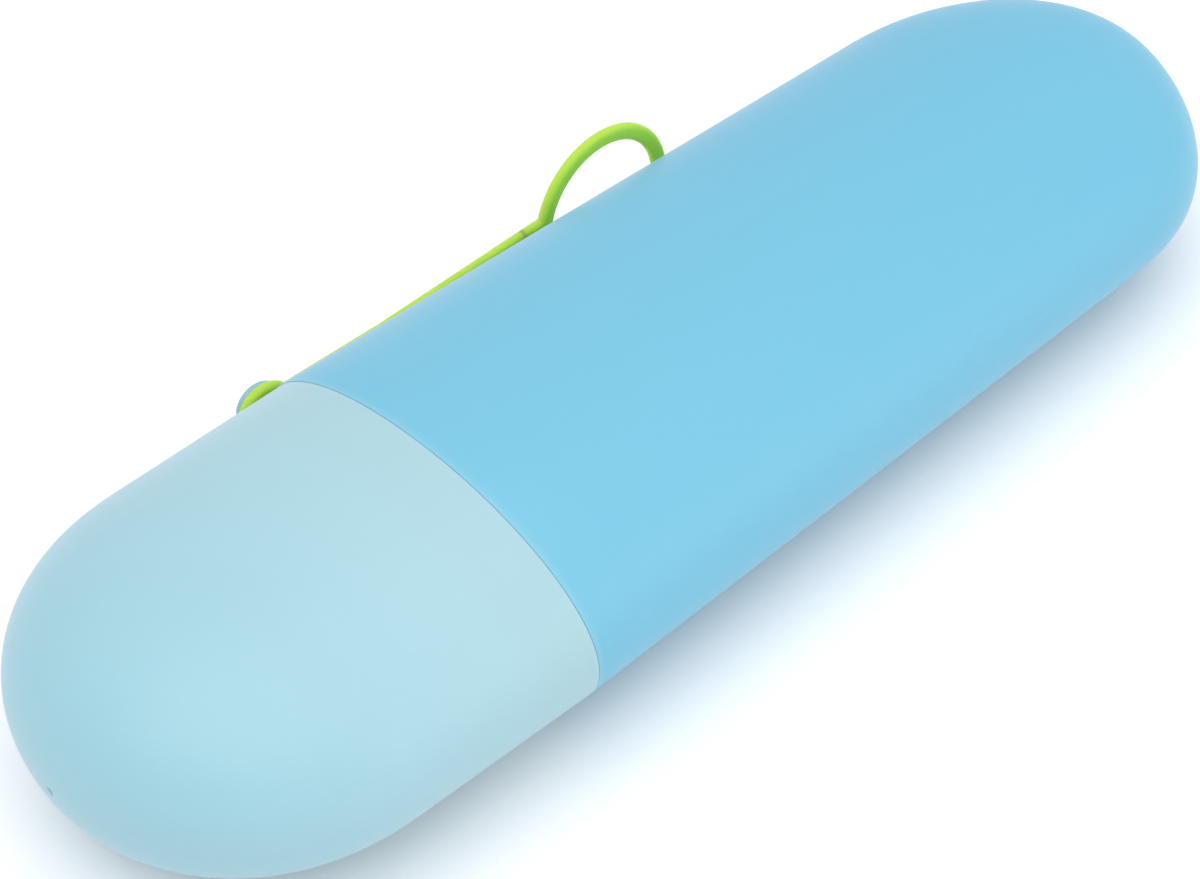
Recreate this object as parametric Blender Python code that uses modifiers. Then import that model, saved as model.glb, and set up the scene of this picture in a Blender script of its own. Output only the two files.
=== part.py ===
"""Travel toothbrush case: two lapped plastic shells and a silicone strap that hooks over a button on the seam.

Metres, +Z up. The case lies on its rest flat. +X points to the closed end of the body, the cap is at -X, and the
strap is on the +Y side. The origin is half-way along the case, on the rest flat.
"""

import math

import bmesh
import bpy
from mathutils import Matrix, Vector

# Case
CASE_WIDTH = 0.065
CASE_THICKNESS = 0.0347
BODY_LENGTH = 0.145
CAP_LENGTH = 0.059
WALL = 0.0022
REST_FLAT_DEPTH = 0.0006
SECTION_POWER = 2.05

# How each half tapers, and how its end rounds off: side_ in the view from above, face_ in the view from the side
BODY_SHAPE = {
    "length": BODY_LENGTH,
    "side_draft": math.radians(0.58),
    "face_draft": math.radians(0.5),
    "side_end": 0.032,
    "side_power": 2.15,
    "face_end": 0.029,
    "face_power": 3.3,
}
CAP_SHAPE = {
    "length": CAP_LENGTH,
    "side_draft": math.radians(1.58),
    "face_draft": math.radians(0.5),
    "side_end": 0.031,
    "side_power": 2.08,
    "face_end": 0.028,
    "face_power": 2.25,
}
VENT_RADIUS = 0.001

# Lap joint: the body's neck goes into the cap's lip, with a grip bead in a shallow groove
SEAM_GAP = 0.0003
EDGE_BREAK = 0.00015
LAP_LENGTH = 0.009
LIP_WALL = 0.0009
LAP_CLEARANCE = 0.0003
LAP_LEAD = 0.0003
BEAD_PLACE = 0.0055
BEAD_HALF_LENGTH = 0.0007
BEAD_HEIGHT = 0.0002

# Button on the seam: each rim has half of the neck, and the round head is all on the cap's half
BUTTON_SPLIT = 0.0005
BUTTON_NECK_RADIUS = 0.00195
HEAD_RADIUS = 0.0037
HEAD_THICKNESS = 0.0011
HEAD_EDGE = 0.0004
HEAD_CROWN = 0.0002
BUTTON_SINK_SHARE = 0.7

# Silicone strap, one flat moulding that lies beside the wall: an eye, a band, a root and a ring
STRAP_THICKNESS = 0.0016
STRAP_EDGE = 0.0007
STRAP_STANDOFF = 0.00065
STRAP_CLEARANCE = 0.0003
EYE_CORD = 0.0024
BAND_WIDTH_AT_EYE = 0.0046
BAND_WIDTH_AT_RING = 0.0082
BAND_FLARE_PLACE = 0.0127
RING_RADIUS = 0.012
RING_CORD = 0.0026
RING_PLACE = 0.06435
ROOT_LENGTH = 0.0056

# Snap peg under the root, through the body's wall
PEG_RADIUS = 0.0013
PEG_CLEARANCE = 0.0003
FOOT_RADIUS = 0.0021
BARB_RADIUS = 0.0019
BARB_LENGTH = 0.0018
BARB_TIP_RADIUS = 0.0007

# Mesh fineness, and how far a cutter runs past what it cuts
SECTION_POINTS = 56
STRAIGHT_RINGS = 4
END_RINGS = 8
ARC_POINTS = 24
TURNED_POINTS = 24
RING_POINTS = 48
CORD_POINTS = 12
EDGE_STEPS = 1
SMOOTH_ANGLE = math.radians(32)
CUT_OVERRUN = 0.001
WELD_DISTANCE = 0.000002

# Places worked out from the sizes above
HALF_WIDTH = CASE_WIDTH / 2
HALF_THICKNESS = CASE_THICKNESS / 2
AXIS_HEIGHT = HALF_THICKNESS - REST_FLAT_DEPTH
SEAM_X = (CAP_LENGTH - BODY_LENGTH) / 2
NECK_INSET = LIP_WALL + LAP_CLEARANCE
STRAP_Y = HALF_WIDTH + STRAP_STANDOFF + STRAP_THICKNESS / 2
STRAP_OUTER_Y = STRAP_Y + STRAP_THICKNESS / 2
EYE_HOLE_RADIUS = BUTTON_NECK_RADIUS + STRAP_CLEARANCE
EYE_OUTER_RADIUS = EYE_HOLE_RADIUS + EYE_CORD
RING_OUTER_RADIUS = RING_RADIUS + RING_CORD / 2
RING_X = SEAM_X + RING_PLACE
FLARE_X = SEAM_X + BAND_FLARE_PLACE
ROOT_END_X = RING_X - RING_OUTER_RADIUS - STRAP_CLEARANCE
ROOT_START_X = ROOT_END_X - ROOT_LENGTH
BAND_END_X = ROOT_START_X - STRAP_CLEARANCE
PEG_X = (ROOT_START_X + ROOT_END_X) / 2
HEAD_UNDER = STRAP_OUTER_Y + STRAP_CLEARANCE - HALF_WIDTH

BODY_COLOR = (0.235, 0.605, 0.82, 1.0)
CAP_COLOR = (0.44, 0.73, 0.82, 1.0)
STRAP_COLOR = (0.40, 0.66, 0.08, 1.0)
PLASTIC_ROUGHNESS = 0.38
SILICONE_ROUGHNESS = 0.55


def clear_scene():
    """Remove what the scene holds."""
    for item in list(bpy.data.objects):
        bpy.data.objects.remove(item, do_unlink=True)


def add_collection(name):
    """A new collection in the scene."""
    made = bpy.data.collections.new(name)
    bpy.context.scene.collection.children.link(made)
    return made


def add_material(name, color, roughness):
    """A Principled material."""
    material = bpy.data.materials.new(name)
    material.use_nodes = True
    shader = material.node_tree.nodes["Principled BSDF"]
    shader.inputs["Base Color"].default_value = color
    shader.inputs["Roughness"].default_value = roughness
    shader.inputs["Metallic"].default_value = 0.0
    material.diffuse_color = color
    return material


def signed_power(value, power):
    """A value raised to a power, with its sign kept."""
    return math.copysign(abs(value) ** power, value)


def end_share(distance, length, end_length, power):
    """How much of the full size is left at a distance from the seam: all until the end rounds, none at its tip."""
    along = max(0.0, (distance - length + end_length) / end_length)
    return max(0.0, 1.0 - along**power) ** (1.0 / power)


def half_sizes(shape, distance, inset):
    """Half-width and half-height of a section at a distance from the seam, drawn in by inset."""
    length = shape["length"] - inset
    side = HALF_WIDTH - inset - distance * math.tan(shape["side_draft"])
    face = HALF_THICKNESS - inset - distance * math.tan(shape["face_draft"])
    return (
        side * end_share(distance, length, shape["side_end"] - inset, shape["side_power"]),
        face * end_share(distance, length, shape["face_end"] - inset, shape["face_power"]),
    )


def section(shape, heading, distance, inset):
    """Points round a section. Its underside is level, inset above the rest flat."""
    half_width, half_height = half_sizes(shape, distance, inset)
    points = []
    for step in range(SECTION_POINTS):
        angle = 2 * math.pi * step / SECTION_POINTS
        across = half_width * signed_power(math.cos(angle), 2 / SECTION_POWER)
        up = half_height * signed_power(math.sin(angle), 2 / SECTION_POWER)
        height = max(AXIS_HEIGHT + up, inset)
        points.append(Vector((SEAM_X + heading * distance, across, height)))
    return points


def vent_circle(shape, heading, inset):
    """Points round the vent hole in the middle of an end."""
    points = []
    for step in range(SECTION_POINTS):
        angle = 2 * math.pi * step / SECTION_POINTS
        across = VENT_RADIUS * math.cos(angle)
        up = VENT_RADIUS * math.sin(angle)
        points.append(Vector((SEAM_X + heading * (shape["length"] - inset), across, AXIS_HEIGHT + up)))
    return points


def skin(shape, heading, start, inset):
    """Sections of one side of a wall, from a start near the seam to the vent hole in the end."""
    length = shape["length"] - inset
    end_length = shape["side_end"] - inset
    straight = length - end_length - start
    places = [start + straight * step / STRAIGHT_RINGS for step in range(STRAIGHT_RINGS)]
    for step in range(END_RINGS + 1):
        turn = math.sin(math.pi / 2 * step / (END_RINGS + 1))
        places.append(length - end_length + end_length * turn ** (2 / shape["side_power"]))
    rings = [section(shape, heading, place, inset) for place in places]
    return rings + [vent_circle(shape, heading, inset)]


def lap_skin(start, end, inset, bead_inset):
    """Sections of the neck's outside or the lip's inside, with the bead or its groove part-way along."""
    places = (
        (start, inset),
        (BEAD_PLACE - BEAD_HALF_LENGTH, inset),
        (BEAD_PLACE, bead_inset),
        (BEAD_PLACE + BEAD_HALF_LENGTH, inset),
        (end, inset),
    )
    return [section(CAP_SHAPE, -1, place, depth) for place, depth in places]


def loft_loop(name, rings):
    """A closed solid through rings of points, the last ring joined back to the first."""
    build = bmesh.new()
    loops = [[build.verts.new(point) for point in ring] for ring in rings]
    for loop, following in zip(loops, loops[1:] + loops[:1]):
        for step in range(SECTION_POINTS):
            build.faces.new((loop[step - 1], loop[step], following[step], following[step - 1]))
    return object_from(name, build)


def object_from(name, build):
    """An object that holds the built mesh, welded, with its faces pointing out."""
    bmesh.ops.remove_doubles(build, verts=build.verts, dist=WELD_DISTANCE)
    bmesh.ops.recalc_face_normals(build, faces=build.faces)
    mesh = bpy.data.meshes.new(name)
    build.to_mesh(mesh)
    build.free()
    return bpy.data.objects.new(name, mesh)


def mesh_of(source):
    """A bmesh of a helper object as it is evaluated, in world space. The helper is removed."""
    bpy.context.scene.collection.objects.link(source)
    bpy.context.view_layer.update()
    evaluated = source.evaluated_get(bpy.context.evaluated_depsgraph_get())
    mesh = bpy.data.meshes.new_from_object(evaluated)
    mesh.transform(source.matrix_world)
    build = bmesh.new()
    build.from_mesh(mesh)
    bpy.data.meshes.remove(mesh)
    bpy.data.objects.remove(source, do_unlink=True)
    return build


def turned(name, profile, place):
    """A solid turned from (radius, distance) points, its axis along +Y from a place."""
    mesh = bpy.data.meshes.new(name)
    points = [(radius, 0.0, distance) for radius, distance in profile]
    mesh.from_pydata(points, [(step, step + 1) for step in range(len(points) - 1)], [])
    source = bpy.data.objects.new(name, mesh)
    screw = source.modifiers.new("turn", "SCREW")
    screw.steps = TURNED_POINTS
    screw.render_steps = TURNED_POINTS
    screw.use_merge_vertices = True
    screw.merge_threshold = WELD_DISTANCE
    source.matrix_world = Matrix.Translation(place) @ Matrix.Rotation(-math.pi / 2, 4, "X")
    return mesh_of(source)


def flat_moulding(name, outlines):
    """A solid of the strap's thickness from outlines in the XZ plane, its edges rounded."""
    curve = bpy.data.curves.new(name, "CURVE")
    curve.dimensions = "2D"
    curve.fill_mode = "BOTH"
    curve.extrude = STRAP_THICKNESS / 2 - STRAP_EDGE
    curve.bevel_depth = STRAP_EDGE
    curve.bevel_resolution = EDGE_STEPS
    curve.offset = -STRAP_EDGE
    for outline in outlines:
        spline = curve.splines.new("POLY")
        spline.points.add(len(outline) - 1)
        spline.use_cyclic_u = True
        for point, (along, up) in zip(spline.points, outline):
            point.co = (along, up, 0.0, 1.0)
    source = bpy.data.objects.new(name, curve)
    source.matrix_world = Matrix.Translation((0.0, STRAP_Y, AXIS_HEIGHT)) @ Matrix.Rotation(math.pi / 2, 4, "X")
    return mesh_of(source)


def arc(center, radius, start, end, steps):
    """Points on an arc about a place on the strap's middle line."""
    angles = [start + (end - start) * step / steps for step in range(steps + 1)]
    return [(center + radius * math.cos(angle), radius * math.sin(angle)) for angle in angles]


def band_half_width(place):
    """Half the band's width at a place along the case. It widens evenly from the flare's start to the ring."""
    share = (place - FLARE_X) / (ROOT_END_X - FLARE_X)
    return (BAND_WIDTH_AT_EYE + (BAND_WIDTH_AT_RING - BAND_WIDTH_AT_EYE) * share) / 2


def button_head():
    """The button's round head, above the strap's eye."""
    top = HEAD_UNDER + HEAD_THICKNESS
    profile = (
        (0.0, top + HEAD_CROWN),
        (HEAD_RADIUS / 2, top + HEAD_CROWN * 3 / 4),
        (HEAD_RADIUS - HEAD_EDGE, top),
        (HEAD_RADIUS, top - HEAD_EDGE),
        (HEAD_RADIUS, HEAD_UNDER + HEAD_EDGE),
        (HEAD_RADIUS - HEAD_EDGE, HEAD_UNDER),
        (0.0, HEAD_UNDER),
    )
    return object_from("button_head", turned("button_head", profile, (SEAM_X, HALF_WIDTH, AXIS_HEIGHT)))


def neck_half(name, heading, top):
    """Half of the button's neck, from inside the rim on one side of the seam up to top."""
    foot = -LIP_WALL * BUTTON_SINK_SHARE
    profile = ((0.0, top), (BUTTON_NECK_RADIUS, top), (BUTTON_NECK_RADIUS, foot), (0.0, foot))
    build = turned(name, profile, (SEAM_X, HALF_WIDTH, AXIS_HEIGHT))
    cut = bmesh.ops.bisect_plane(
        build,
        geom=build.verts[:] + build.edges[:] + build.faces[:],
        plane_co=(SEAM_X + heading * BUTTON_SPLIT / 2, 0.0, 0.0),
        plane_no=(-heading, 0.0, 0.0),
        clear_outer=True,
    )
    rim = [item for item in cut["geom_cut"] if isinstance(item, bmesh.types.BMEdge)]
    bmesh.ops.triangle_fill(build, edges=rim, use_beauty=True)
    return object_from(name, build)


def add_boolean(target, operation, tool):
    """A live Boolean on the target. The tool is hidden in the helpers' collection."""
    helpers.objects.link(tool)
    tool.hide_render = True
    tool.display_type = "WIRE"
    modifier = target.modifiers.new(tool.name, "BOOLEAN")
    modifier.operation = operation
    modifier.solver = "EXACT"
    modifier.object = tool


def finish(item, material, pivot=(0.0, 0.0, 0.0)):
    """Put a piece in the case's collection, with its material, its origin on its pivot and its round faces smooth."""
    case.objects.link(item)
    item.data.transform(Matrix.Translation(-Vector(pivot)))
    item.location = pivot
    item.data.materials.append(material)
    item.data.shade_smooth()
    item.data.set_sharp_from_angle(angle=SMOOTH_ANGLE)


def make_case_body():
    """The long half: outside, end, inside, neck and shoulder, with half of the button's neck and the peg's hole."""
    edge = SEAM_GAP / 2
    rings = [section(BODY_SHAPE, 1, edge, EDGE_BREAK)]
    rings += skin(BODY_SHAPE, 1, edge + EDGE_BREAK, 0.0)
    rings += reversed(skin(BODY_SHAPE, 1, -LAP_LENGTH, WALL))
    rings.append(section(CAP_SHAPE, -1, LAP_LENGTH, NECK_INSET + LAP_LEAD))
    rings += reversed(lap_skin(-edge, LAP_LENGTH - LAP_LEAD, NECK_INSET, NECK_INSET - BEAD_HEIGHT))
    body = loft_loop("case_body", rings)
    add_boolean(body, "UNION", neck_half("body_neck_half", 1, HEAD_UNDER - STRAP_CLEARANCE))
    add_boolean(body, "DIFFERENCE", peg_hole())
    finish(body, body_plastic)
    return body


def make_case_cap(body):
    """The short half: outside, end, inside, and the lip over the neck, with half of the button's neck and its head."""
    edge = SEAM_GAP / 2
    lap_end = LAP_LENGTH + LAP_CLEARANCE
    rings = [section(CAP_SHAPE, -1, edge, EDGE_BREAK)]
    rings += skin(CAP_SHAPE, -1, edge + EDGE_BREAK, 0.0)
    rings += reversed(skin(CAP_SHAPE, -1, lap_end, WALL))
    rings += reversed(lap_skin(edge + LAP_LEAD, lap_end, LIP_WALL, LIP_WALL - BEAD_HEIGHT))
    rings.append(section(CAP_SHAPE, -1, edge, LIP_WALL - LAP_LEAD))
    cap = loft_loop("case_cap", rings)
    add_boolean(cap, "UNION", neck_half("cap_neck_half", -1, HEAD_UNDER + HEAD_THICKNESS / 2))
    add_boolean(cap, "UNION", button_head())
    finish(cap, cap_plastic, (SEAM_X, 0.0, AXIS_HEIGHT))
    cap.parent = body
    return cap


def peg_seat():
    """The wall's outside where the peg goes through."""
    return half_sizes(BODY_SHAPE, PEG_X - SEAM_X, 0.0)[0]


def peg_hole():
    """Cutter for the hole that the peg goes through."""
    outer = peg_seat() + CUT_OVERRUN
    inner = peg_seat() - WALL - CUT_OVERRUN
    build = bmesh.new()
    turn = Matrix.Translation((PEG_X, (outer + inner) / 2, AXIS_HEIGHT)) @ Matrix.Rotation(math.pi / 2, 4, "X")
    bmesh.ops.create_cone(
        build,
        cap_ends=True,
        segments=TURNED_POINTS,
        radius1=PEG_RADIUS + PEG_CLEARANCE,
        radius2=PEG_RADIUS + PEG_CLEARANCE,
        depth=outer - inner,
        matrix=turn,
    )
    return object_from("peg_hole", build)


def make_closure_band(body):
    """The eye that hooks over the button, and the band that runs along the wall to the root."""
    meet = math.asin(BAND_WIDTH_AT_EYE / 2 / EYE_OUTER_RADIUS)
    end_half_width = band_half_width(BAND_END_X)
    outside = arc(SEAM_X, EYE_OUTER_RADIUS, meet, 2 * math.pi - meet, ARC_POINTS)
    outside += [(FLARE_X, -BAND_WIDTH_AT_EYE / 2), (BAND_END_X, -end_half_width)]
    outside += [(BAND_END_X, end_half_width), (FLARE_X, BAND_WIDTH_AT_EYE / 2)]
    hole = arc(SEAM_X, EYE_HOLE_RADIUS, 0.0, -2 * math.pi, ARC_POINTS)[1:]
    band = object_from("closure_band", flat_moulding("closure_band", (outside, hole)))
    finish(band, strap_silicone, (BAND_END_X + STRAP_CLEARANCE / 2, STRAP_OUTER_Y, AXIS_HEIGHT))
    band.parent = body


def make_strap_root(body):
    """The pad between band and ring, with the foot on the wall and the barbed peg through it."""
    reach = RING_OUTER_RADIUS + STRAP_CLEARANCE
    start_half_width = band_half_width(ROOT_START_X)
    spread = math.asin(BAND_WIDTH_AT_RING / 2 / reach)
    outline = arc(RING_X, reach, math.pi + spread, math.pi - spread, TURNED_POINTS // 4)
    outline += [(ROOT_START_X, start_half_width), (ROOT_START_X, -start_half_width)]
    root = object_from("strap_root", flat_moulding("strap_root", (outline,)))
    seat = peg_seat()
    inside = -WALL - PEG_CLEARANCE
    profile = (
        (0.0, STRAP_Y - seat),
        (FOOT_RADIUS, STRAP_Y - seat),
        (FOOT_RADIUS, STRAP_CLEARANCE),
        (PEG_RADIUS, STRAP_CLEARANCE),
        (PEG_RADIUS, inside),
        (BARB_RADIUS, inside),
        (BARB_TIP_RADIUS, inside - BARB_LENGTH),
        (0.0, inside - BARB_LENGTH),
    )
    peg = object_from("strap_peg", turned("strap_peg", profile, (PEG_X, seat, AXIS_HEIGHT)))
    add_boolean(root, "UNION", peg)
    finish(root, strap_silicone)
    root.parent = body


def make_carry_ring(body):
    """The round ring, an oval cord as thick as the strap, its hinge line on the outer face just short of it."""
    bpy.ops.mesh.primitive_torus_add(
        major_radius=RING_RADIUS,
        minor_radius=RING_CORD / 2,
        major_segments=RING_POINTS,
        minor_segments=CORD_POINTS,
        location=(RING_X, STRAP_Y, AXIS_HEIGHT),
        rotation=(math.pi / 2, 0.0, 0.0),
    )
    torus = bpy.context.object
    torus.name = "ring_source"
    torus.scale = (1.0, 1.0, STRAP_THICKNESS / RING_CORD)
    for owner in list(torus.users_collection):
        owner.objects.unlink(torus)
    ring = object_from("carry_ring", mesh_of(torus))
    finish(ring, strap_silicone, (ROOT_END_X + STRAP_CLEARANCE / 2, STRAP_OUTER_Y, AXIS_HEIGHT))
    ring.parent = body


clear_scene()
case = add_collection("toothbrush_case")
helpers = add_collection("helpers")
body_plastic = add_material("body_plastic", BODY_COLOR, PLASTIC_ROUGHNESS)
cap_plastic = add_material("cap_plastic", CAP_COLOR, PLASTIC_ROUGHNESS)
strap_silicone = add_material("strap_silicone", STRAP_COLOR, SILICONE_ROUGHNESS)
case_body = make_case_body()
make_case_cap(case_body)
make_closure_band(case_body)
make_strap_root(case_body)
make_carry_ring(case_body)
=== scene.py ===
# Toothbrush case: two satin plastic shells, the button on their seam and the green silicone strap
import math
import bmesh
import bpy
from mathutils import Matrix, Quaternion, Vector


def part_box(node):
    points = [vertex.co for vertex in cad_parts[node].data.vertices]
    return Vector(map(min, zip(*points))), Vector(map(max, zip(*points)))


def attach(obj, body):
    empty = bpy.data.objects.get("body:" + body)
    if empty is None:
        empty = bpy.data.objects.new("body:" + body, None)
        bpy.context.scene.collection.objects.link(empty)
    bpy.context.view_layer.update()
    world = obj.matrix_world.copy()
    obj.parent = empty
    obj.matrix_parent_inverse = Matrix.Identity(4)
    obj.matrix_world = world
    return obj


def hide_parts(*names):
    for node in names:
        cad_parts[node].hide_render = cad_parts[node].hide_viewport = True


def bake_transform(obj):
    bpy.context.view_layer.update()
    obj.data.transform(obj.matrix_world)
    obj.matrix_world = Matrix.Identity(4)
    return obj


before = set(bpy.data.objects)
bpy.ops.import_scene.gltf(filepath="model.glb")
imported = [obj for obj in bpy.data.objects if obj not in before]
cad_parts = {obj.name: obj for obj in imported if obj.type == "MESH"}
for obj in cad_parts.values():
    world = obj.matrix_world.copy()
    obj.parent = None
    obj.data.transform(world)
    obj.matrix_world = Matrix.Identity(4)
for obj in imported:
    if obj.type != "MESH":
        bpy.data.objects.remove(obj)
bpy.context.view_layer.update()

print("frame loaded")

# Places read from the frame, all but the cap's length
# The button, the strap and the vents lie at the height of the case's axis
capLength = 0.059
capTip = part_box("case_cap")[0].x
seamX = capTip + capLength
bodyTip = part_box("case_body")[1].x
ringLow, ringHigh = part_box("carry_ring")
rootLow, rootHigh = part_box("strap_root")
bandLow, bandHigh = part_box("closure_band")
axisHeight = (ringLow.z + ringHigh.z) / 2
strapY = (ringLow.y + ringHigh.y) / 2


# Node helpers

def addNode(tree, kind, place, **settings):
    node = tree.nodes.new(kind)
    node.location = place
    for name, value in settings.items():
        setattr(node, name, value)
    return node


def setInputs(node, values):
    for name, value in values.items():
        node.inputs[name].default_value = value


def mixColors(tree, place, mode, factor, first, second):
    # factor, first and second are each a socket to link or a fixed value
    node = addNode(tree, "ShaderNodeMix", place, data_type="RGBA", blend_type=mode)
    sockets = (node.inputs[0], node.inputs[6], node.inputs[7])
    for socket, value in zip(sockets, (factor, first, second)):
        if isinstance(value, bpy.types.NodeSocket):
            tree.links.new(value, socket)
        else:
            socket.default_value = value
    return node.outputs[2]


def mathNode(tree, place, operation, first, second=0.0, third=0.0):
    node = addNode(tree, "ShaderNodeMath", place, operation=operation)
    for socket, value in zip(node.inputs, (first, second, third)):
        if isinstance(value, bpy.types.NodeSocket):
            tree.links.new(value, socket)
        else:
            socket.default_value = value
    return node.outputs[0]


def noise(tree, place, vector, scale, detail=2.0, roughness=0.5, distortion=0.0):
    node = addNode(tree, "ShaderNodeTexNoise", place)
    setInputs(node, {"Scale": scale, "Detail": detail, "Roughness": roughness, "Distortion": distortion})
    tree.links.new(vector, node.inputs["Vector"])
    return node.outputs["Fac"]


def newGroup(name, inputs, outputs):
    group = bpy.data.node_groups.new(name, "ShaderNodeTree")
    for label, kind, value in inputs:
        socket = group.interface.new_socket(name=label, in_out="INPUT", socket_type=kind)
        if value is not None:
            socket.default_value = value
    for label, kind in outputs:
        group.interface.new_socket(name=label, in_out="OUTPUT", socket_type=kind)
    start = addNode(group, "NodeGroupInput", (-1200, 0))
    end = addNode(group, "NodeGroupOutput", (900, 0))
    return group, start, end


# The fine spark-eroded texture that a satin mould leaves, with slow uneven patches of gloss

mould = {
    "grainDetail": 3.0,
    "grainRoughness": 0.62,
    "pitScale": 0.55,
    "pitShare": 0.35,
    "patchScale": 34.0,
    "patchDetail": 3.0,
    "patchRoughness": 0.55,
}


def makeMouldTexture():
    group, start, end = newGroup(
        "mouldTexture",
        (
            ("Vector", "NodeSocketVector", None),
            ("Grain Scale", "NodeSocketFloat", 2600.0),
            ("Roughness", "NodeSocketFloat", 0.42),
            ("Gloss Variation", "NodeSocketFloat", 0.05),
        ),
        (("Roughness", "NodeSocketFloat"), ("Height", "NodeSocketFloat")),
    )
    fine = addNode(group, "ShaderNodeTexNoise", (-700, 200))
    setInputs(fine, {"Detail": mould["grainDetail"], "Roughness": mould["grainRoughness"]})
    group.links.new(start.outputs["Vector"], fine.inputs["Vector"])
    group.links.new(start.outputs["Grain Scale"], fine.inputs["Scale"])
    pits = addNode(group, "ShaderNodeTexVoronoi", (-700, -100), feature="SMOOTH_F1")
    group.links.new(start.outputs["Vector"], pits.inputs["Vector"])
    pitScale = mathNode(group, (-900, -100), "MULTIPLY", start.outputs["Grain Scale"], mould["pitScale"])
    group.links.new(pitScale, pits.inputs["Scale"])
    pit = pits.outputs["Distance"]
    grain = fine.outputs["Fac"]
    height = mathNode(group, (-300, 100), "MULTIPLY_ADD", pit, mould["pitShare"], grain)
    group.links.new(height, end.inputs["Height"])
    patches = noise(
        group,
        (-700, -400),
        start.outputs["Vector"],
        mould["patchScale"],
        mould["patchDetail"],
        mould["patchRoughness"],
    )
    swing = mathNode(group, (-400, -400), "SUBTRACT", patches, 0.5)
    swing = mathNode(group, (-200, -400), "MULTIPLY", swing, start.outputs["Gloss Variation"])
    rough = mathNode(group, (0, -400), "ADD", start.outputs["Roughness"], swing)
    group.links.new(rough, end.inputs["Roughness"])
    return group


# Hairline scuffs in a few patches, as a mask that is mostly zero

scuffs = {
    "turnsAndScales": ((0.35, 60.0), (1.4, 75.0), (2.5, 50.0)),
    "stretch": (1.0, 16.0, 1.0),
    "detail": 2.0,
    "roughness": 0.45,
    "distortion": 0.4,
    "lineWidth": 0.004,
    "patchScale": 22.0,
    "patchScaleStep": 9.0,
    "patchDetail": 1.0,
    "patchLimit": 0.62,
    "amount": 0.03,
    "color": (0.60, 0.69, 0.74, 1.0),
}


def makeHandlingMarks():
    group, start, end = newGroup(
        "handlingMarks",
        (("Vector", "NodeSocketVector", None), ("Amount", "NodeSocketFloat", 0.5)),
        (("Mask", "NodeSocketFloat"),),
    )
    total = None
    for step, (turn, scale) in enumerate(scuffs["turnsAndScales"]):
        row = -300 * step
        place = start.outputs["Vector"]
        turned = addNode(group, "ShaderNodeMapping", (-900, row))
        setInputs(turned, {"Rotation": (0.0, 0.0, turn), "Scale": scuffs["stretch"]})
        group.links.new(place, turned.inputs["Vector"])
        streak = noise(
            group,
            (-650, row),
            turned.outputs["Vector"],
            scale,
            scuffs["detail"],
            scuffs["roughness"],
            scuffs["distortion"],
        )
        line = mathNode(group, (-450, row), "SUBTRACT", streak, 0.5)
        line = mathNode(group, (-300, row), "ABSOLUTE", line)
        line = mathNode(group, (-150, row), "LESS_THAN", line, scuffs["lineWidth"])
        patchScale = scuffs["patchScale"] + scuffs["patchScaleStep"] * step
        patch = noise(group, (-650, row - 150), place, patchScale, scuffs["patchDetail"])
        patch = mathNode(group, (-300, row - 150), "GREATER_THAN", patch, scuffs["patchLimit"])
        line = mathNode(group, (0, row), "MULTIPLY", line, patch)
        total = line if total is None else mathNode(group, (200, row), "MAXIMUM", total, line)
    mask = mathNode(group, (500, 0), "MULTIPLY", total, start.outputs["Amount"])
    group.links.new(mask, end.inputs["Mask"])
    return group


def makeSeamHighlightFade():
    # A mask for the painted highlights, strongest at the rim on the seam and fading out along the case
    group, start, end = newGroup(
        "seamHighlightFade",
        (
            ("Vector", "NodeSocketVector", None),
            ("Rim", "NodeSocketFloat", 0.0),
            ("Fade", "NodeSocketFloat", 0.001),
            ("Strength", "NodeSocketFloat", 0.2),
        ),
        (("Mask", "NodeSocketFloat"),),
    )
    split = addNode(group, "ShaderNodeSeparateXYZ", (-900, 0))
    group.links.new(start.outputs["Vector"], split.inputs["Vector"])
    away = mathNode(group, (-700, 0), "SUBTRACT", split.outputs["X"], start.outputs["Rim"])
    away = mathNode(group, (-500, 0), "ABSOLUTE", away)
    share = mathNode(group, (-300, 0), "DIVIDE", away, start.outputs["Fade"])
    ramp = addNode(group, "ShaderNodeMapRange", (-100, 0), interpolation_type="SMOOTHSTEP")
    setInputs(ramp, {"From Min": 0.0, "From Max": 1.0, "To Min": 1.0, "To Max": 0.0})
    group.links.new(share, ramp.inputs["Value"])
    mask = mathNode(group, (300, 0), "MULTIPLY", ramp.outputs["Result"], start.outputs["Strength"])
    group.links.new(mask, end.inputs["Mask"])
    return group


mouldTexture = makeMouldTexture()
handlingMarks = makeHandlingMarks()
seamHighlightFade = makeSeamHighlightFade()


def useGroup(tree, group, place, vector, values):
    node = addNode(tree, "ShaderNodeGroup", place)
    node.node_tree = group
    tree.links.new(vector, node.inputs["Vector"])
    setInputs(node, values)
    return node


def startMaterial(name):
    material = bpy.data.materials.new(name)
    material.use_nodes = True
    tree = material.node_tree
    shader = tree.nodes["Principled BSDF"]
    shader.location = (600, 0)
    place = addNode(tree, "ShaderNodeTexCoord", (-1400, 0))
    return material, tree, shader, place.outputs["Object"]


def addBump(tree, shader, height, strength, depth):
    bump = addNode(tree, "ShaderNodeBump", (350, -400))
    setInputs(bump, {"Strength": strength, "Distance": depth})
    tree.links.new(height, bump.inputs["Height"])
    tree.links.new(bump.outputs["Normal"], shader.inputs["Normal"])


# Satin polypropylene, the same for both shells and the button apart from its colour, which is the cap's
# plastic darkened as painted shade

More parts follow.
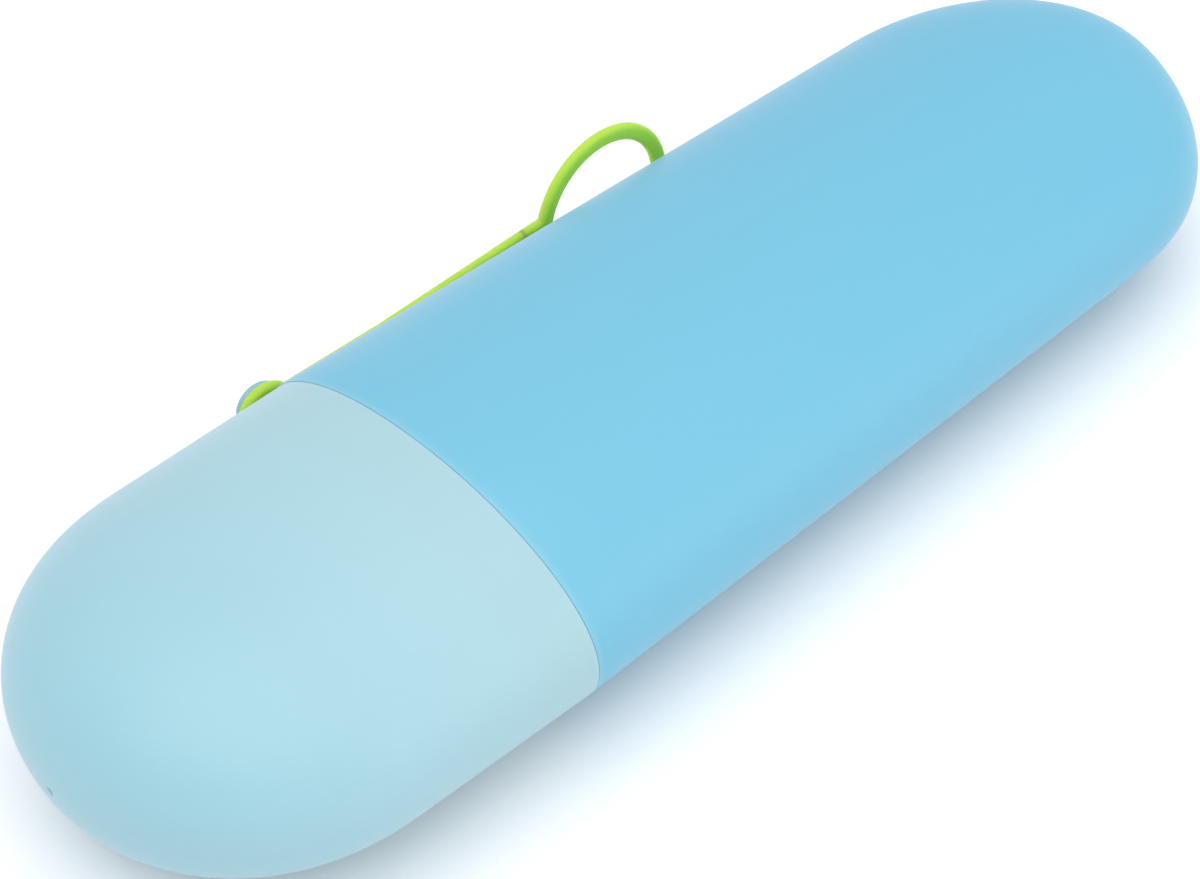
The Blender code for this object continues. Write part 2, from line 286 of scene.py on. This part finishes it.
plastic = {
    "bodyColor": (0.157, 0.472, 0.620, 1.0),
    "bodyDeep": (0.126, 0.440, 0.602, 1.0),
    # painted highlight: a whiter colour painted towards the seam, and how far it reaches
    "bodyPale": (0.158, 0.470, 0.618, 1.0),
    "bodyPaleReach": 0.12,
    # painted highlight: a lighter strip painted along the rim, and its strength
    "bodyRim": (0.34, 0.62, 0.74, 1.0),
    "bodyRimStrength": 0.24,
    "capColor": (0.322, 0.552, 0.612, 1.0),
    "capDeep": (0.284, 0.528, 0.596, 1.0),
    # painted highlight: a whiter colour painted towards the seam, and how far it reaches
    "capPale": (0.354, 0.564, 0.614, 1.0),
    "capPaleReach": 0.056,
    # painted highlight: a lighter strip painted along the rim, and its strength
    "capRim": (0.38, 0.61, 0.70, 1.0),
    "capRimStrength": 0.3,
    # painted shade: the button head's colours are the cap's plastic darkened
    "buttonColor": (0.245, 0.450, 0.510, 1.0),
    "buttonDeep": (0.225, 0.435, 0.495, 1.0),
    "buttonPale": (0.245, 0.450, 0.510, 1.0),
    "buttonPaleReach": 0.01,
    "buttonRim": (0.245, 0.450, 0.510, 1.0),
    "buttonRimStrength": 0.0,
    # how far the painted rim highlight reaches from the seam
    "rimHighlightReach": 0.0013,
    "flowStretch": (0.16, 1.0, 1.0),
    "flowScale": 26.0,
    "flowDetail": 4.0,
    "flowRoughness": 0.5,
    "flowDistortion": 0.6,
    "roughness": 0.44,
    "glossVariation": 0.06,
    "grainScale": 2600.0,
    "grainDepth": 0.00004,
    "grainStrength": 0.22,
    "subsurface": 0.12,
    "subsurfaceRadius": (0.7, 1.0, 1.2),
    "subsurfaceScale": 0.004,
    "ior": 1.49,
    "sheen": 0.22,
    "sheenRoughness": 0.35,
    "sheenTint": (0.86, 0.80, 0.94, 1.0),
}


def makePlastic(name, shell):
    material, tree, shader, place = startMaterial(name)
    skin = useGroup(
        tree,
        mouldTexture,
        (-700, -300),
        place,
        {
            "Grain Scale": plastic["grainScale"],
            "Roughness": plastic["roughness"],
            "Gloss Variation": plastic["glossVariation"],
        },
    )
    marks = useGroup(tree, handlingMarks, (-700, -600), place, {"Amount": scuffs["amount"]})
    # slow flow patches of pigment along the case
    flow = addNode(tree, "ShaderNodeMapping", (-1100, 300))
    setInputs(flow, {"Scale": plastic["flowStretch"]})
    tree.links.new(place, flow.inputs["Vector"])
    patches = noise(
        tree,
        (-800, 300),
        flow.outputs["Vector"],
        plastic["flowScale"],
        plastic["flowDetail"],
        plastic["flowRoughness"],
        plastic["flowDistortion"],
    )
    deep = plastic[shell + "Deep"]
    tone = mixColors(tree, (-500, 300), "MIX", patches, deep, plastic[shell + "Color"])
    # painted highlight: the wall is painted whiter towards the seam, and a lighter strip is painted
    # along its thin rim for light showing through it
    paintedHighlight = {"Rim": seamX, "Fade": plastic[shell + "PaleReach"], "Strength": 1.0}
    paintedHighlight = useGroup(tree, seamHighlightFade, (-700, 800), place, paintedHighlight)
    tone = mixColors(tree, (-350, 300), "MIX", paintedHighlight.outputs["Mask"], tone, plastic[shell + "Pale"])
    # painted highlight: a lighter strip along the rim on the seam
    rim = {"Rim": seamX, "Fade": plastic["rimHighlightReach"], "Strength": plastic[shell + "RimStrength"]}
    rim = useGroup(tree, seamHighlightFade, (-500, 600), place, rim)
    tone = mixColors(tree, (-200, 300), "MIX", rim.outputs["Mask"], tone, plastic[shell + "Rim"])
    tone = mixColors(tree, (0, 300), "MIX", marks.outputs["Mask"], tone, scuffs["color"])
    tree.links.new(tone, shader.inputs["Base Color"])
    tree.links.new(skin.outputs["Roughness"], shader.inputs["Roughness"])
    addBump(tree, shader, skin.outputs["Height"], plastic["grainStrength"], plastic["grainDepth"])
    setInputs(
        shader,
        {
            "Subsurface Weight": plastic["subsurface"],
            "Subsurface Radius": plastic["subsurfaceRadius"],
            "Subsurface Scale": plastic["subsurfaceScale"],
            "IOR": plastic["ior"],
            "Sheen Weight": plastic["sheen"],
            "Sheen Roughness": plastic["sheenRoughness"],
            "Sheen Tint": plastic["sheenTint"],
        },
    )
    return material


bodyPlastic = makePlastic("bodyPlastic", "body")
capPlastic = makePlastic("capPlastic", "cap")
# the button head: the cap's plastic darkened as painted shade
shadedButtonPlastic = makePlastic("shadedButtonPlastic", "button")

# Lime-green silicone rubber, matte, with a fine soft grain

silicone = {
    "color": (0.410, 0.600, 0.064, 1.0),
    "deep": (0.350, 0.555, 0.052, 1.0),
    "patchScale": 180.0,
    "patchDetail": 3.0,
    "patchRoughness": 0.55,
    "roughness": 0.46,
    "glossVariation": 0.08,
    "grainScale": 4200.0,
    "grainDepth": 0.00003,
    "grainStrength": 0.25,
    "subsurface": 0.9,
    "subsurfaceRadius": (0.8, 1.0, 0.3),
    "subsurfaceScale": 0.004,
    "ior": 1.42,
    "sheen": 0.15,
    "sheenRoughness": 0.4,
    "sheenTint": (0.85, 1.0, 0.6, 1.0),
}


def makeSilicone():
    material, tree, shader, place = startMaterial("strapSilicone")
    skin = useGroup(
        tree,
        mouldTexture,
        (-700, -300),
        place,
        {
            "Grain Scale": silicone["grainScale"],
            "Roughness": silicone["roughness"],
            "Gloss Variation": silicone["glossVariation"],
        },
    )
    patches = noise(
        tree,
        (-800, 300),
        place,
        silicone["patchScale"],
        silicone["patchDetail"],
        silicone["patchRoughness"],
    )
    tone = mixColors(tree, (-300, 300), "MIX", patches, silicone["deep"], silicone["color"])
    tree.links.new(tone, shader.inputs["Base Color"])
    tree.links.new(skin.outputs["Roughness"], shader.inputs["Roughness"])
    addBump(tree, shader, skin.outputs["Height"], silicone["grainStrength"], silicone["grainDepth"])
    setInputs(
        shader,
        {
            "Subsurface Weight": silicone["subsurface"],
            "Subsurface Radius": silicone["subsurfaceRadius"],
            "Subsurface Scale": silicone["subsurfaceScale"],
            "IOR": silicone["ior"],
            "Sheen Weight": silicone["sheen"],
            "Sheen Roughness": silicone["sheenRoughness"],
            "Sheen Tint": silicone["sheenTint"],
        },
    )
    return material


strapSilicone = makeSilicone()
print("materials made")


# Mesh helpers

weldDistance = 1e-7


def meshPiece(build, name, material, sharpAngle=40.0):
    # the bmesh becomes an object at the origin, its place in its mesh, with its faces pointing out
    bmesh.ops.remove_doubles(build, verts=build.verts, dist=weldDistance)
    bmesh.ops.recalc_face_normals(build, faces=build.faces)
    mesh = bpy.data.meshes.new(name)
    build.to_mesh(mesh)
    build.free()
    mesh.shade_smooth()
    mesh.set_sharp_from_angle(angle=math.radians(sharpAngle))
    mesh.materials.append(material)
    piece = bpy.data.objects.new(name, mesh)
    bpy.context.scene.collection.objects.link(piece)
    return piece


# The shells: one section drawn along the case, outside to the vent and back along the inside

case = {
    "halfThickness": 0.01735,
    "sectionPower": 2.05,
    "wall": 0.0022,
    "around": 192,
    "straightRings": 12,
    "endRings": 34,
    "endTurn": 86.0,
    "roundSteps": 4,
    "sharpAngle": 50.0,
    "rimRound": 0.0001,
    "seamShow": 0.00005,
    "ventRadius": 0.00045,
    "ventRound": 0.00035,
}
bodyForm = {
    "heading": 1,
    "length": bodyTip - seamX,
    "halfWidth": 0.0326,
    "sideDraft": math.tan(math.radians(0.58)),
    "faceDraft": math.tan(math.radians(0.5)),
    "sideEnd": 0.032,
    "sidePower": 2.15,
    "faceEnd": 0.029,
    "facePower": 3.3,
}
capForm = {
    "heading": -1,
    "length": capLength,
    "halfWidth": 0.0325,
    "sideDraft": math.tan(math.radians(1.58)),
    "faceDraft": math.tan(math.radians(0.5)),
    "sideEnd": 0.031,
    "sidePower": 2.08,
    "faceEnd": 0.028,
    "facePower": 2.25,
}
lap = {
    "play": 0.00012,
    "length": 0.009,
    "lipWall": 0.0009,
    "clearance": 0.0003,
    "lead": 0.0003,
    "beadPlace": 0.0055,
    "beadHalfLength": 0.0007,
    "beadHeight": 0.0002,
    "beadHalfSteps": 4,
}


def endShare(distance, length, endLength, power):
    # the share of its width that a section keeps where the closed end curves in
    along = max(0.0, (distance - length + endLength) / endLength)
    return max(0.0, 1.0 - along**power) ** (1.0 / power)


def station(form, distance, inset):
    # where a section stands, its half-width, its half-height and how high its level underside lies
    length = form["length"] - inset
    side = form["halfWidth"] - inset - distance * form["sideDraft"]
    face = case["halfThickness"] - inset - distance * form["faceDraft"]
    side *= endShare(distance, length, form["sideEnd"] - inset, form["sidePower"])
    face *= endShare(distance, length, form["faceEnd"] - inset, form["facePower"])
    return (seamX + form["heading"] * distance, side, face, inset)


def stationPoint(place, turn):
    # a point of the rounded section, cut level where the case lies on its rest flat
    x, side, face, underside = place
    power = 2 / case["sectionPower"]
    across = math.copysign(abs(math.cos(turn)) ** power, math.cos(turn)) * side
    up = math.copysign(abs(math.sin(turn)) ** power, math.sin(turn)) * face
    return Vector((x, across, max(axisHeight + up, underside)))


def ventStation(form, inset, radius):
    # a round section of the vent, so far in from the tip
    return (seamX + form["heading"] * (form["length"] - inset), radius, radius, 0.0)


def skinStations(form, start, inset):
    # from the rim to the closed end, closer together where the end curves in
    length = form["length"] - inset
    endLength = form["sideEnd"] - inset
    straight = length - endLength - start
    count = case["straightRings"]
    stations = [station(form, start + straight * step / count, inset) for step in range(count)]
    for step in range(case["endRings"] + 1):
        turn = math.radians(case["endTurn"]) * step / case["endRings"]
        share = math.sin(turn) ** (2 / form["sidePower"])
        stations.append(station(form, length - endLength + endLength * share, inset))
    return stations


def ventStations(form):
    # through the hole, its outer and inner edges rounded
    radius = case["ventRadius"]
    fillet = case["ventRound"]
    wall = case["wall"]
    steps = case["roundSteps"]
    outer = []
    inner = []
    for step in range(steps + 1):
        turn = math.pi / 2 * step / steps
        away = fillet * (1 - math.cos(turn))
        back = fillet * (1 - math.sin(turn))
        outer.append(ventStation(form, away, radius + back))
        inner.append(ventStation(form, wall - back, radius + away))
    return outer + inner


def lapStations(start, end, inset, beadInset):
    # the neck's outside or the lip's inside, with the grip bead or its groove
    stations = [station(capForm, start, inset)]
    for step in range(2 * lap["beadHalfSteps"] + 1):
        away = step / lap["beadHalfSteps"] - 1
        share = math.cos(math.pi * away / 2) ** 2
        place = lap["beadPlace"] + lap["beadHalfLength"] * away
        stations.append(station(capForm, place, inset + (beadInset - inset) * share))
    stations.append(station(capForm, end, inset))
    return stations


def rimStations(form, start, inset, inward):
    # a rounded edge of a rim, from its flat end to the skin
    steps = case["roundSteps"]
    fillet = case["rimRound"]
    stations = []
    for step in range(steps + 1):
        turn = math.pi / 2 * step / steps
        away = fillet * (1 - math.cos(turn))
        back = fillet * (1 - math.sin(turn))
        stations.append(station(form, start + away, inset + inward * back))
    return stations


def loftShell(name, stations, material, body, node, shift=0.0):
    # a ring of points is extruded from station to station and ends where it started
    build = bmesh.new()
    turnLayer = build.verts.layers.float.new("turn")
    first = bmesh.ops.create_circle(build, segments=case["around"], radius=1.0)["verts"]
    for vert in first:
        vert[turnLayer] = math.atan2(vert.co.y, vert.co.x)
        vert.co = stationPoint(stations[0], vert[turnLayer])
    loop = build.edges[:]
    for place in stations[1:] + stations[:1]:
        grown = bmesh.ops.extrude_edge_only(build, edges=loop)["geom"]
        loop = [item for item in grown if isinstance(item, bmesh.types.BMEdge)]
        fresh = {item for item in grown if isinstance(item, bmesh.types.BMVert)}
        loop = [edge for edge in loop if edge.verts[0] in fresh and edge.verts[1] in fresh]
        for vert in fresh:
            vert.co = stationPoint(place, vert[turnLayer])
    bmesh.ops.translate(build, verts=build.verts, vec=(0.0, shift, 0.0))
    piece = meshPiece(build, name, material, case["sharpAngle"])
    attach(piece, body)
    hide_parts(node)


showGap = case["seamShow"] / 2
neckInset = lap["lipWall"] + lap["clearance"]
neckBeadInset = neckInset - lap["beadHeight"]
neckStations = lapStations(-showGap, lap["length"] - lap["lead"], neckInset, neckBeadInset)
bodyStations = rimStations(bodyForm, showGap, 0.0, 1)
bodyStations += skinStations(bodyForm, showGap + case["rimRound"], 0.0)[1:]
bodyStations += ventStations(bodyForm)
bodyStations += reversed(skinStations(bodyForm, -lap["length"] + lap["lead"], case["wall"]))
bodyStations.append(station(bodyForm, -lap["length"], case["wall"] - lap["lead"] / 2))
bodyStations.append(station(capForm, lap["length"], neckInset + lap["lead"] / 2))
bodyStations += reversed(neckStations)
loftShell("bodyShell", bodyStations, bodyPlastic, "body", "case_body")

lapEnd = lap["length"] + lap["clearance"]
grooveInset = lap["lipWall"] - lap["beadHeight"]
capStations = rimStations(capForm, showGap, 0.0, 1)
capStations += skinStations(capForm, showGap + case["rimRound"], 0.0)[1:]
capStations += ventStations(capForm)
capStations += reversed(skinStations(capForm, lapEnd, case["wall"]))
capStations += reversed(lapStations(showGap + case["rimRound"], lapEnd, lap["lipWall"], grooveInset))
capStations += reversed(rimStations(capForm, showGap, lap["lipWall"], -1))
# the cap sits to one side in the play of its lap joint, as in the photograph
loftShell("capShell", capStations, capPlastic, "cap", "case_cap", -lap["play"])
print("shells made")


# Turned pieces

def turnedBuild(profile, place, steps):
    # a (radius, distance) profile that starts and ends on the axis, spun round that axis along +Y
    build = bmesh.new()
    points = [build.verts.new((radius, distance, 0.0)) for radius, distance in profile]
    edges = [build.edges.new(pair) for pair in zip(points, points[1:])]
    bmesh.ops.spin(
        build,
        geom=points + edges,
        cent=(0.0, 0.0, 0.0),
        axis=(0.0, 1.0, 0.0),
        angle=2 * math.pi,
        steps=steps,
        use_merge=True,
    )
    bmesh.ops.remove_doubles(build, verts=build.verts, dist=weldDistance)
    bmesh.ops.translate(build, verts=build.verts, vec=place)
    return build


def roundedCorner(center, radius, start, end, steps=5):
    # profile points on an arc, its angles in degrees from the outward direction
    turns = [math.radians(start + (end - start) * step / steps) for step in range(steps + 1)]
    return [(center[0] + radius * math.cos(turn), center[1] + radius * math.sin(turn)) for turn in turns]


# The button: half of the neck on each rim, and the round head all on the cap's half

button = {
    "neckRadius": 0.00195,
    "headRadius": 0.0037,
    "headEdge": 0.0004,
    "clearance": 0.0003,
    "headThickness": 0.0011,
    "crown": 0.0002,
    "crownSteps": 7,
    "rootFlare": 0.0004,
    "flareEnd": 250,
    "sink": 0.0006,
    "split": 0.0003,
    "steps": 96,
}
buttonPlace = (seamX, capForm["halfWidth"], axisHeight)
headUnder = ringHigh.y + button["clearance"] - capForm["halfWidth"]


def makeButtonHead():
    edge = button["headEdge"]
    head = button["headRadius"]
    top = headUnder + button["headThickness"]
    profile = [(0.0, top + button["crown"])]
    for step in range(1, button["crownSteps"]):
        share = step / button["crownSteps"]
        profile.append(((head - edge) * share, top + button["crown"] * (1 - share**2)))
    profile += roundedCorner((head - edge, top - edge), edge, 90, 0)
    profile += roundedCorner((head - edge, headUnder + edge), edge, 0, -90)
    profile.append((0.0, headUnder))
    piece = meshPiece(turnedBuild(profile, buttonPlace, button["steps"]), "buttonHead", shadedButtonPlastic)
    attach(piece, "cap")


def makeNeckHalf(name, heading, top, material, body):
    flare = button["rootFlare"]
    neck = button["neckRadius"]
    topRound = flare / 4
    profile = [(0.0, top)]
    profile += roundedCorner((neck - topRound, top - topRound), topRound, 90, 0)
    profile += roundedCorner((neck + flare, flare), flare, 180, button["flareEnd"])
    profile += [(neck + flare, -button["sink"]), (0.0, -button["sink"])]
    build = turnedBuild(profile, buttonPlace, button["steps"])
    cut = bmesh.ops.bisect_plane(
        build,
        geom=build.verts[:] + build.edges[:] + build.faces[:],
        plane_co=(seamX + heading * button["split"] / 2, 0.0, 0.0),
        plane_no=(-heading, 0.0, 0.0),
        clear_outer=True,
    )
    rim = [item for item in cut["geom_cut"] if isinstance(item, bmesh.types.BMEdge)]
    bmesh.ops.triangle_fill(build, edges=rim, use_beauty=True)
    piece = meshPiece(build, name, material)
    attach(piece, body)


# the cap's half of the neck ends inside the head, and the body's half stays clear of it
capNeckTop = headUnder + button["headThickness"] / 2
bodyNeckTop = headUnder - button["clearance"]
makeButtonHead()
makeNeckHalf("capNeckHalf", -1, capNeckTop, capPlastic, "cap")
makeNeckHalf("bodyNeckHalf", 1, bodyNeckTop, bodyPlastic, "body")
print("button made")

# The strap: one flat moulding, drawn as an outline with an eye and a ring,
# then given its thickness and its round edges, and cut in two where its foot stands

strap = {
    "thickness": ringHigh.y - ringLow.y,
    "eyeHoleRadius": button["neckRadius"] + button["clearance"],
    "eyeOuterRadius": seamX - bandLow.x,
    "ringOuterRadius": (ringHigh.x - ringLow.x) / 2,
    "ringCord": 0.0026,
    "widthAtEye": 0.00535,
    "widthAtRing": 0.0082,
    "flarePlace": 0.021,
    "edge": 0.00076,
    "edgeSteps": 6,
    "sharpAngle": 60.0,
    "hingeGap": 0.0003,
    "bandBend": 0.0022,
    "ringBendBefore": 0.0012,
    "ringBendAfter": 0.0008,
    "eyePoints": 72,
    "ringPoints": 160,
    "bandStep": 0.0004,
}
ringX = (ringLow.x + ringHigh.x) / 2
cutX = (rootLow.x + rootHigh.x) / 2


def outlineArc(build, centerX, radius, start, end, steps):
    # points on an arc in the strap's middle plane, its angles in radians
    verts = []
    for step in range(steps + 1):
        turn = start + (end - start) * step / steps
        place = (centerX + radius * math.cos(turn), strapY, axisHeight + radius * math.sin(turn))
        verts.append(build.verts.new(place))
    return verts


def outlineRun(build, first, last):
    # evenly spaced points between two corners, without the corners themselves
    count = int((last.co - first.co).length / strap["bandStep"])
    return [build.verts.new(first.co.lerp(last.co, step / count)) for step in range(1, count)]


def closedLoop(build, verts):
    return [build.edges.new(pair) for pair in zip(verts, verts[1:] + verts[:1])]


def makeStrapBuild():
    build = bmesh.new()
    eyeTurn = math.asin(strap["widthAtEye"] / 2 / strap["eyeOuterRadius"])
    ringTurn = math.asin(strap["widthAtRing"] / 2 / strap["ringOuterRadius"])
    eye = outlineArc(
        build,
        seamX,
        strap["eyeOuterRadius"],
        eyeTurn,
        2 * math.pi - eyeTurn,
        strap["eyePoints"],
    )
    ring = outlineArc(
        build,
        ringX,
        strap["ringOuterRadius"],
        math.pi + ringTurn,
        3 * math.pi - ringTurn,
        strap["ringPoints"],
    )
    # from here to the ring the band widens
    flareX = seamX + strap["flarePlace"]
    flare = [
        build.verts.new((flareX, strapY, axisHeight + side * strap["widthAtEye"] / 2))
        for side in (-1, 1)
    ]
    lower = outlineRun(build, eye[-1], flare[0]) + [flare[0]] + outlineRun(build, flare[0], ring[0])
    upper = outlineRun(build, ring[-1], flare[1]) + [flare[1]] + outlineRun(build, flare[1], eye[0])
    outside = eye + lower + ring + upper
    edges = closedLoop(build, outside)
    ringInner = strap["ringOuterRadius"] - strap["ringCord"]
    for centerX, radius, steps in (
        (seamX, strap["eyeHoleRadius"], strap["eyePoints"]),
        (ringX, ringInner, strap["ringPoints"]),
    ):
        edges += closedLoop(build, outlineArc(build, centerX, radius, 0.0, 2 * math.pi, steps)[:-1])
    bmesh.ops.triangle_fill(build, edges=edges, use_beauty=True, normal=(0.0, 1.0, 0.0))
    half = strap["thickness"] / 2
    bmesh.ops.translate(build, verts=build.verts, vec=(0.0, -half, 0.0))
    grown = bmesh.ops.extrude_face_region(build, geom=build.faces[:], use_keep_orig=True)["geom"]
    moved = [item for item in grown if isinstance(item, bmesh.types.BMVert)]
    bmesh.ops.translate(build, verts=moved, vec=(0.0, 2 * half, 0.0))
    bmesh.ops.recalc_face_normals(build, faces=build.faces)
    # the edges between a flat side and the outline's wall, since two flat faces would add up to 2
    rims = [
        edge
        for edge in build.edges
        if len(edge.link_faces) == 2 and abs(edge.verts[0].co.y - edge.verts[1].co.y) < half
        and abs(edge.link_faces[0].normal.y) + abs(edge.link_faces[1].normal.y) < 1.5
    ]
    bmesh.ops.bevel(
        build,
        geom=rims,
        offset=strap["edge"],
        segments=strap["edgeSteps"],
        profile=0.5,
        affect="EDGES",
        material=-1,
        clamp_overlap=False,
    )
    return build


def makeStrapPart(name, keepHeading, node):
    build = makeStrapBuild()
    cut = bmesh.ops.bisect_plane(
        build,
        geom=build.verts[:] + build.edges[:] + build.faces[:],
        plane_co=(cutX, 0.0, 0.0),
        plane_no=(keepHeading, 0.0, 0.0),
        clear_inner=True,
    )
    rim = [item for item in cut["geom_cut"] if isinstance(item, bmesh.types.BMEdge)]
    bmesh.ops.triangle_fill(build, edges=rim, use_beauty=True)
    piece = meshPiece(build, name, strapSilicone, strap["sharpAngle"])
    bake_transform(piece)
    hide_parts(node)


# the strap is cut at the middle of its foot, the band on one side and the ring on the other
makeStrapPart("strapBand", -1, "closure_band")
makeStrapPart("strapRing", 1, "carry_ring")

# The foot that stands on the wall under the strap, and the barbed peg through it

peg = {
    "footRadius": 0.0021,
    "radius": 0.0013,
    "barbRadius": 0.0019,
    "barbLength": 0.0018,
    "tipRadius": 0.0007,
    "barbTurn": -20,
    "fillet": 0.0002,
    "clearance": 0.0003,
    "steps": 64,
}


def makePeg():
    # the foot ends just above the wall, and the barb starts just inside it
    seat = station(bodyForm, cutX - seamX, 0.0)[1]
    inside = seat - case["wall"] - peg["clearance"]
    foot = seat + peg["clearance"] / 3
    tip = inside - peg["barbLength"]
    fillet = peg["fillet"]
    profile = [(0.0, strapY), (peg["footRadius"], strapY)]
    profile += roundedCorner((peg["footRadius"] - fillet, foot + fillet), fillet, 0, -90)
    profile += [(peg["radius"], foot), (peg["radius"], inside)]
    barb = (peg["barbRadius"] - fillet, inside - fillet)
    profile += roundedCorner(barb, fillet, 90, peg["barbTurn"])
    profile += roundedCorner((peg["tipRadius"] - fillet, tip + fillet), fillet, peg["barbTurn"], -90)
    profile.append((0.0, tip))
    build = turnedBuild(profile, (cutX, 0.0, axisHeight), peg["steps"])
    piece = meshPiece(build, "strapPeg", strapSilicone)
    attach(piece, "body")
    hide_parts("strap_root")


makePeg()
print("strap made")

# Studio: a pale floor, a wide soft light above, a weak one from the front, and a bright even surround

studio = {
    "floorSize": 6.0,
    "floorColor": (0.93, 0.93, 0.935, 1.0),
    "floorRoughness": 0.9,
    "floorSpecular": 0.2,
    "paperGrainScale": 900.0,
    "paperGrainDetail": 2.0,
    "paperGrainStrength": 0.02,
    "skyColor": (0.93, 0.95, 1.0, 1.0),
    "horizonColor": (0.82, 0.80, 0.86, 1.0),
    "skyHeight": 0.6,
    "skyStrength": 0.84,
    "keySize": 2.0,
    "keyPower": 14.5,
    "keyPlace": (-0.35, -0.15, 1.5),
    "keyColor": (1.0, 0.99, 0.97),
    "fillSize": 1.2,
    "fillPower": 4.0,
    "fillPlace": (0.6, -1.2, 0.6),
    "fillColor": (0.97, 0.98, 1.0),
}


def makeFloor():
    build = bmesh.new()
    bmesh.ops.create_grid(build, x_segments=1, y_segments=1, size=studio["floorSize"] / 2)
    material, tree, shader, place = startMaterial("floorPaper")
    grain = noise(tree, (-600, 0), place, studio["paperGrainScale"], studio["paperGrainDetail"])
    strength = studio["paperGrainStrength"]
    paper = mixColors(tree, (-200, 0), "MULTIPLY", strength, studio["floorColor"], grain)
    tree.links.new(paper, shader.inputs["Base Color"])
    shader.inputs["Roughness"].default_value = studio["floorRoughness"]
    shader.inputs["Specular IOR Level"].default_value = studio["floorSpecular"]
    floor = meshPiece(build, "floor", material)


def addArea(lightName):
    # a round area light that looks at the middle of the case
    data = bpy.data.lights.new(lightName + "Light", "AREA")
    data.shape = "DISK"
    data.size = studio[lightName + "Size"]
    data.energy = studio[lightName + "Power"]
    data.color = studio[lightName + "Color"]
    lamp = bpy.data.objects.new(lightName + "Light", data)
    lamp.location = studio[lightName + "Place"]
    toAim = Vector((0.0, 0.0, axisHeight)) - Vector(studio[lightName + "Place"])
    lamp.rotation_euler = toAim.to_track_quat("-Z", "Y").to_euler()
    bpy.context.scene.collection.objects.link(lamp)


def makeWorld():
    world = bpy.data.worlds.new("studio")
    bpy.context.scene.world = world
    world.use_nodes = True
    tree = world.node_tree
    surround = tree.nodes["Background"]
    place = addNode(tree, "ShaderNodeTexCoord", (-900, 0))
    split = addNode(tree, "ShaderNodeSeparateXYZ", (-700, 0))
    tree.links.new(place.outputs["Generated"], split.inputs["Vector"])
    ramp = addNode(tree, "ShaderNodeMapRange", (-500, 0))
    setInputs(ramp, {"From Min": 0.0, "From Max": studio["skyHeight"], "To Min": 0.0, "To Max": 1.0})
    tree.links.new(split.outputs["Z"], ramp.inputs["Value"])
    height = ramp.outputs["Result"]
    sky = mixColors(tree, (-250, 0), "MIX", height, studio["horizonColor"], studio["skyColor"])
    tree.links.new(sky, surround.inputs["Color"])
    surround.inputs["Strength"].default_value = studio["skyStrength"]


makeFloor()
addArea("key")
addArea("fill")
makeWorld()

# The camera stands where the photograph's did

cameraPlan = {
    "place": (-0.1709, -0.1740, 0.23925),
    "aim": (-0.01453, -0.00300, 0.01673),
    "rollDegrees": -1.986,
    "lens": 71.04,
    "sensorWidth": 36.0,
    "clipStart": 0.01,
}


def makeCamera():
    data = bpy.data.cameras.new("camera")
    data.lens = cameraPlan["lens"]
    data.sensor_width = cameraPlan["sensorWidth"]
    data.clip_start = cameraPlan["clipStart"]
    camera = bpy.data.objects.new("camera", data)
    camera.location = cameraPlan["place"]
    look = Vector(cameraPlan["aim"]) - Vector(cameraPlan["place"])
    level = look.to_track_quat("-Z", "Y")
    roll = Quaternion((0.0, 0.0, 1.0), math.radians(cameraPlan["rollDegrees"]))
    camera.rotation_mode = "QUATERNION"
    camera.rotation_quaternion = level @ roll
    bpy.context.scene.collection.objects.link(camera)
    bpy.context.scene.camera = camera


makeCamera()
bpy.context.scene.view_settings.view_transform = "Standard"
print("studio made")
